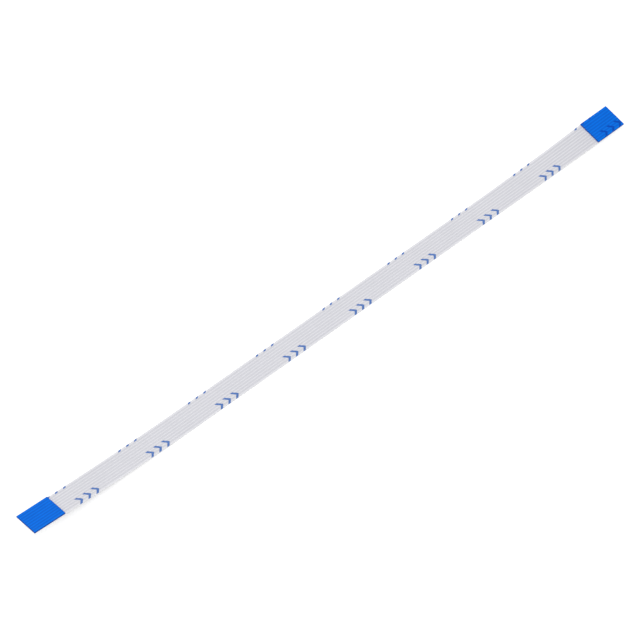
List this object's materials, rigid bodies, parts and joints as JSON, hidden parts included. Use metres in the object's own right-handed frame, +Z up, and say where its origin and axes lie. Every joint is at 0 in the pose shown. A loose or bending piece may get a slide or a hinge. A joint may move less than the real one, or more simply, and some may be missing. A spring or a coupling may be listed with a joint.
{
  "type": "flat flex cable",
  "caption": "White flat flex cable with parallel flat conductors between two films, a blue stiffener on top and bare contacts below at each end.",
  "frame": {"origin": "on the surface that the cable lies on, under the middle of the cable", "axes": "+X along the cable, +Y across it, +Z up from the side that carries the stiffeners"},
  "size_m": [0.127, 0.0046, 0.0021],
  "materials": {
    "film": "white polyester film, slightly see-through, satin, with fine ridges over the conductors",
    "stiffener": "blue polyester stiffener strip, satin",
    "contact": "tin-plated copper, bright satin"
  },
  "bodies": {
    "root": {"upper_film": "film", "lower_film": "film", "left_stiffener": "stiffener", "right_stiffener": "stiffener", "conductor_1": "contact", "conductor_2": "contact", "conductor_3": "contact", "conductor_4": "contact", "conductor_5": "contact", "conductor_6": "contact", "conductor_7": "contact", "conductor_8": "contact"}
  },
  "joints": []
}
